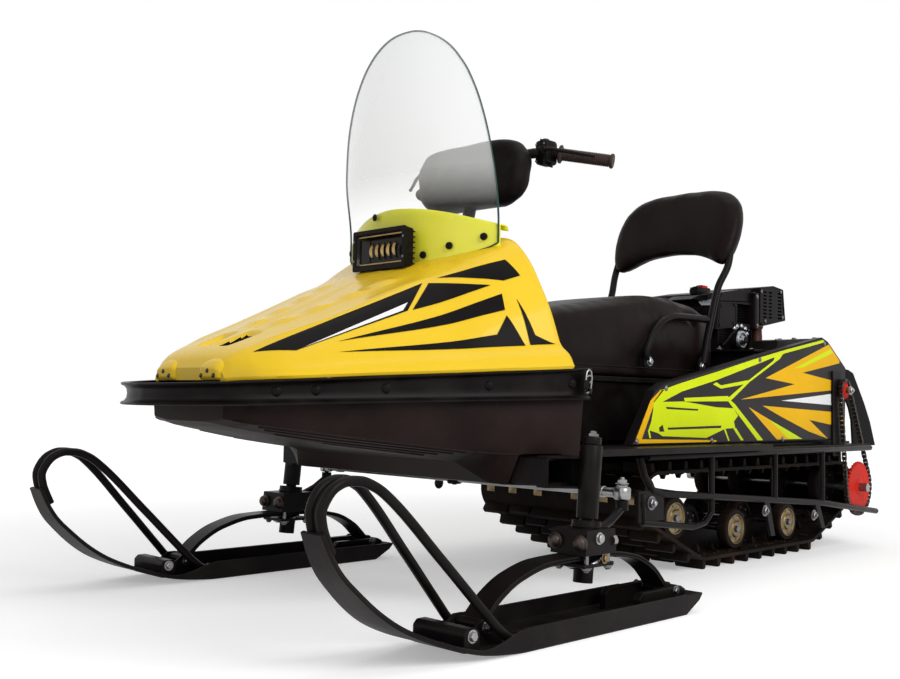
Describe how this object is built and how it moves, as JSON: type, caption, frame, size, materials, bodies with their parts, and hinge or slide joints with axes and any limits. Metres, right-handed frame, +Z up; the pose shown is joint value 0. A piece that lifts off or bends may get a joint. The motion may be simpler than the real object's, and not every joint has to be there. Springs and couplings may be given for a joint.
{
  "type": "snowmobile",
  "caption": "Compact utility snowmobile: rear-engined tracked chassis, two steered skis on leaf springs, tilting hood with windshield, long seat with backrest.",
  "frame": {"origin": "bottom centre of the bounding box, on the ground", "axes": "+X forward towards the ski tips, +Y to the machine's left, +Z up"},
  "size_m": [2.315, 1.05, 1.172],
  "materials": {
    "black_satin": "satin",
    "belly_plastic": "matt",
    "panel_yellow": "gloss",
    "track_rubber": "matt",
    "zinc_gold": "zinc plated",
    "black_plastic": "matt",
    "red_paint": "gloss",
    "chain_steel": "oiled",
    "flap_rubber": "matt",
    "seat_vinyl": "grained",
    "engine_black": "satin",
    "steel": "bright",
    "grip_rubber": "matt",
    "pad_fabric": "matt",
    "ski_plastic": "matt",
    "hood_yellow": "gloss",
    "clear_glass": "clear"
  },
  "bodies": {
    "chassis": {"bumper_band": "black_satin", "belly_pan": "belly_plastic", "cross_beam": "black_satin", "main_frame": "black_satin", "engine_deck": "black_satin", "side_panel_left": "panel_yellow", "side_panel_right": "panel_yellow", "side_rail_left": "black_satin", "side_rail_right": "black_satin", "track_belt": "track_rubber", "roller_wheels": "zinc_gold", "front_idler": "black_plastic", "rear_drive_axle": "black_plastic", "slide_rails": "black_satin", "driven_sprocket": "red_paint", "drive_sprocket": "red_paint", "drive_chain": "chain_steel", "chain_bracket": "black_satin", "mudflap": "flap_rubber", "seat_cushion": "seat_vinyl", "grab_handles": "black_satin", "backrest_frame": "black_satin", "backrest_pad": "seat_vinyl", "engine_block": "engine_black", "fuel_tank": "engine_black", "muffler_guard": "black_plastic", "dash_panel": "black_plastic", "hood_latches": "steel"},
    "hood": {"hood_shell": "hood_yellow", "windshield": "clear_glass", "headlamp": "black_plastic"},
    "steering": {"steering_column": "black_satin", "handlebar": "black_satin", "grips": "grip_rubber", "switch_housings": "black_plastic", "handlebar_pad": "pad_fabric"},
    "ski_unit_left": {"spindle_left": "black_satin", "leaf_spring_left": "black_satin", "ski_left": "ski_plastic", "ski_loop_left": "black_satin"},
    "ski_unit_right": {"spindle_right": "black_satin", "leaf_spring_right": "black_satin", "ski_right": "ski_plastic", "ski_loop_right": "black_satin"},
    "tie_rod": {"tie_rod": "steel"}
  },
  "joints": [
    {"name": "handlebar_steer", "type": "hinge", "parent": "chassis", "child": "steering", "pos_m": [0.4905, 0, 0.33], "axis": [-0.2622, 0, 0.965], "range_deg": [-21, 21]},
    {"name": "ski_left_steer", "type": "hinge", "parent": "chassis", "child": "ski_unit_left", "pos_m": [0.493, 0.445, 0.23], "axis": [-0.094, 0, 0.9956], "range_deg": [-25, 25]},
    {"name": "ski_right_steer", "type": "hinge", "parent": "chassis", "child": "ski_unit_right", "pos_m": [0.493, -0.445, 0.23], "axis": [-0.094, 0, 0.9956], "range_deg": [-25, 25]},
    {"name": "tie_rod_swing", "type": "hinge", "parent": "ski_unit_left", "child": "tie_rod", "pos_m": [0.3895, 0.445, 0.228], "axis": [-0.094, 0, 0.9956], "range_deg": [-25, 25]},
    {"name": "hood_tilt", "type": "hinge", "parent": "chassis", "child": "hood", "pos_m": [1.0675, 0, 0.425], "axis": [0, 1, 0], "range_deg": [0, 60]}
  ],
  "couplings": [
    {"joint": "ski_left_steer", "follows": "handlebar_steer", "ratio": 1.19},
    {"joint": "ski_right_steer", "follows": "handlebar_steer", "ratio": 1.19},
    {"joint": "tie_rod_swing", "follows": "handlebar_steer", "ratio": -1.19}
  ]
}
